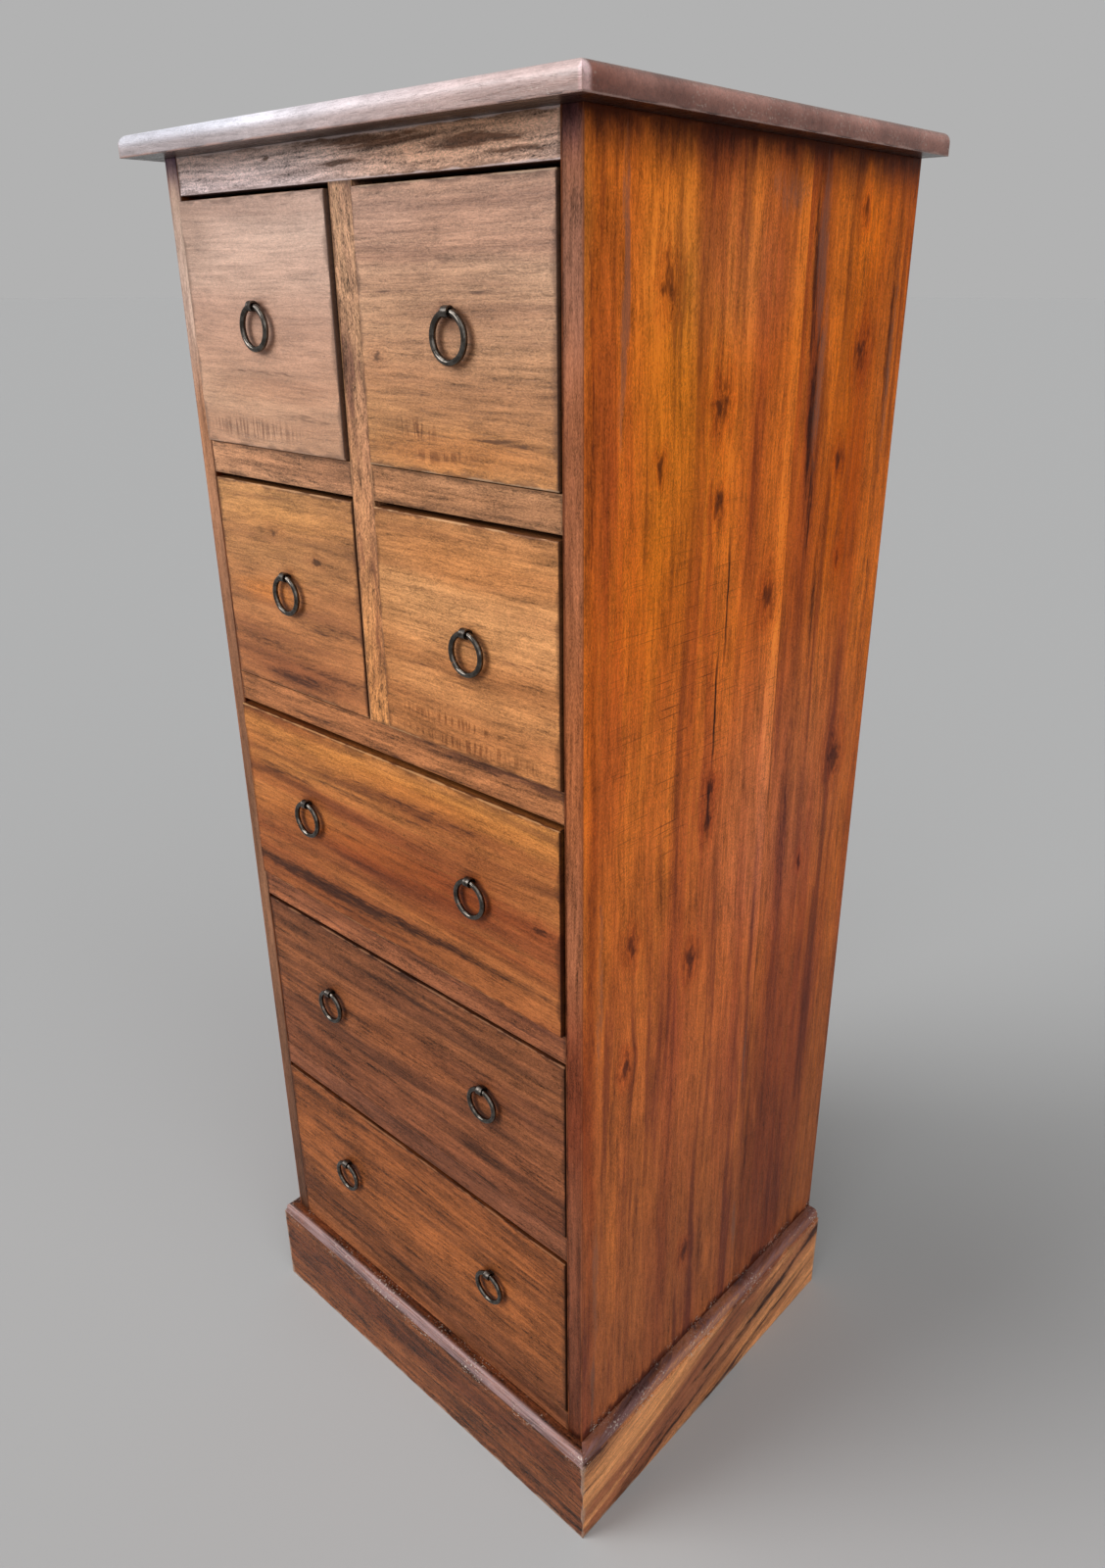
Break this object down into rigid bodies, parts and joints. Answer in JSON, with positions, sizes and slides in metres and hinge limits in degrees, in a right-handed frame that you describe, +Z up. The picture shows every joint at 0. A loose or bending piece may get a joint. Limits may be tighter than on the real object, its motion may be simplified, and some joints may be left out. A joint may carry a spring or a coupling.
{
  "type": "apothecary chest",
  "caption": "Tall narrow wooden apothecary chest: small drawers side by side above full-width ones, dark ring pulls, an overhanging top and a moulded plinth.",
  "frame": {"origin": "on the floor under the middle of the top board", "axes": "+X to the right of someone facing the drawers, +Y towards the back, +Z up"},
  "size_m": [0.495, 0.428, 1.2155],
  "materials": {
    "case_wood": "worn satin varnish over red-brown hardwood",
    "top_wood": "dulled varnish over dark brown hardwood",
    "front_wood": "worn satin varnish over striped brown hardwood",
    "plinth_wood": "worn satin varnish over striped hardwood",
    "inner_wood": "bare sawn hardwood",
    "drawer_wood": "bare planed hardwood",
    "back_wood": "bare thin panel",
    "ring_metal": "dark, rubbed bright on the high spots",
    "pin_metal": "dull, worn"
  },
  "bodies": {
    "carcass": {"top_board": "top_wood", "side_left": "case_wood", "side_right": "case_wood", "back_panel": "back_wood", "back_rail": "inner_wood", "top_rail": "case_wood", "row_rail_left": "case_wood", "row_rail_right": "case_wood", "middle_rail": "case_wood", "lower_rail": "case_wood", "lowest_rail": "case_wood", "bottom_rail": "case_wood", "centre_stile": "case_wood", "partition": "inner_wood", "shelf": "inner_wood", "drawer_runners": "inner_wood", "top_kickers": "inner_wood", "corner_blocks": "inner_wood", "plinth_front": "plinth_wood", "plinth_left": "plinth_wood", "plinth_right": "plinth_wood"},
    "drawer_top_left": {"drawer_top_left_front": "front_wood", "drawer_top_left_walls": "drawer_wood", "drawer_top_left_bottom": "drawer_wood", "drawer_top_left_pins": "pin_metal"},
    "ring_top_left": {"ring_top_left": "ring_metal"},
    "drawer_top_right": {"drawer_top_right_front": "front_wood", "drawer_top_right_walls": "drawer_wood", "drawer_top_right_bottom": "drawer_wood", "drawer_top_right_pins": "pin_metal"},
    "ring_top_right": {"ring_top_right": "ring_metal"},
    "drawer_second_left": {"drawer_second_left_front": "front_wood", "drawer_second_left_walls": "drawer_wood", "drawer_second_left_bottom": "drawer_wood", "drawer_second_left_pins": "pin_metal"},
    "ring_second_left": {"ring_second_left": "ring_metal"},
    "drawer_second_right": {"drawer_second_right_front": "front_wood", "drawer_second_right_walls": "drawer_wood", "drawer_second_right_bottom": "drawer_wood", "drawer_second_right_pins": "pin_metal"},
    "ring_second_right": {"ring_second_right": "ring_metal"},
    "drawer_third": {"drawer_third_front": "front_wood", "drawer_third_walls": "drawer_wood", "drawer_third_bottom": "drawer_wood", "drawer_third_pins": "pin_metal"},
    "ring_third_left": {"ring_third_left": "ring_metal"},
    "ring_third_right": {"ring_third_right": "ring_metal"},
    "drawer_fourth": {"drawer_fourth_front": "front_wood", "drawer_fourth_walls": "drawer_wood", "drawer_fourth_bottom": "drawer_wood", "drawer_fourth_pins": "pin_metal"},
    "ring_fourth_left": {"ring_fourth_left": "ring_metal"},
    "ring_fourth_right": {"ring_fourth_right": "ring_metal"},
    "drawer_fifth": {"drawer_fifth_front": "front_wood", "drawer_fifth_walls": "drawer_wood", "drawer_fifth_bottom": "drawer_wood", "drawer_fifth_pins": "pin_metal"},
    "ring_fifth_left": {"ring_fifth_left": "ring_metal"},
    "ring_fifth_right": {"ring_fifth_right": "ring_metal"}
  },
  "joints": [
    {"name": "slide_top_left", "type": "slide", "parent": "carcass", "child": "drawer_top_left", "axis": [0, -1, 0], "range_m": [0, 0.28]},
    {"name": "swing_top_left", "type": "hinge", "parent": "drawer_top_left", "child": "ring_top_left", "pos_m": [-0.11025, -0.1966, 1.092], "axis": [-1, 0, 0], "range_deg": [-3, 172]},
    {"name": "slide_top_right", "type": "slide", "parent": "carcass", "child": "drawer_top_right", "axis": [0, -1, 0], "range_m": [0, 0.28]},
    {"name": "swing_top_right", "type": "hinge", "parent": "drawer_top_right", "child": "ring_top_right", "pos_m": [0.11255, -0.1951, 1.0906], "axis": [-1, 0, 0], "range_deg": [-3, 172]},
    {"name": "slide_second_left", "type": "slide", "parent": "carcass", "child": "drawer_second_left", "axis": [0, -1, 0], "range_m": [0, 0.28]},
    {"name": "swing_second_left", "type": "hinge", "parent": "drawer_second_left", "child": "ring_second_left", "pos_m": [-0.11025, -0.1936, 0.8805], "axis": [-1, 0, 0], "range_deg": [-3, 172]},
    {"name": "slide_second_right", "type": "slide", "parent": "carcass", "child": "drawer_second_right", "axis": [0, -1, 0], "range_m": [0, 0.28]},
    {"name": "swing_second_right", "type": "hinge", "parent": "drawer_second_right", "child": "ring_second_right", "pos_m": [0.11655, -0.1951, 0.876], "axis": [-1, 0, 0], "range_deg": [-3, 172]},
    {"name": "slide_third", "type": "slide", "parent": "carcass", "child": "drawer_third", "axis": [0, -1, 0], "range_m": [0, 0.28]},
    {"name": "swing_third_left", "type": "hinge", "parent": "drawer_third", "child": "ring_third_left", "pos_m": [-0.11, -0.1966, 0.67], "axis": [-1, 0, 0], "range_deg": [-3, 172]},
    {"name": "swing_third_right", "type": "hinge", "parent": "drawer_third", "child": "ring_third_right", "pos_m": [0.11, -0.1966, 0.67], "axis": [-1, 0, 0], "range_deg": [-3, 172]},
    {"name": "slide_fourth", "type": "slide", "parent": "carcass", "child": "drawer_fourth", "axis": [0, -1, 0], "range_m": [0, 0.28]},
    {"name": "swing_fourth_left", "type": "hinge", "parent": "drawer_fourth", "child": "ring_fourth_left", "pos_m": [-0.11, -0.1931, 0.461], "axis": [-1, 0, 0], "range_deg": [-3, 172]},
    {"name": "swing_fourth_right", "type": "hinge", "parent": "drawer_fourth", "child": "ring_fourth_right", "pos_m": [0.11, -0.1931, 0.461], "axis": [-1, 0, 0], "range_deg": [-3, 172]},
    {"name": "slide_fifth", "type": "slide", "parent": "carcass", "child": "drawer_fifth", "axis": [0, -1, 0], "range_m": [0, 0.28]},
    {"name": "swing_fifth_left", "type": "hinge", "parent": "drawer_fifth", "child": "ring_fifth_left", "pos_m": [-0.11, -0.1941, 0.243], "axis": [-1, 0, 0], "range_deg": [-3, 172]},
    {"name": "swing_fifth_right", "type": "hinge", "parent": "drawer_fifth", "child": "ring_fifth_right", "pos_m": [0.11, -0.1941, 0.243], "axis": [-1, 0, 0], "range_deg": [-3, 172]}
  ]
}
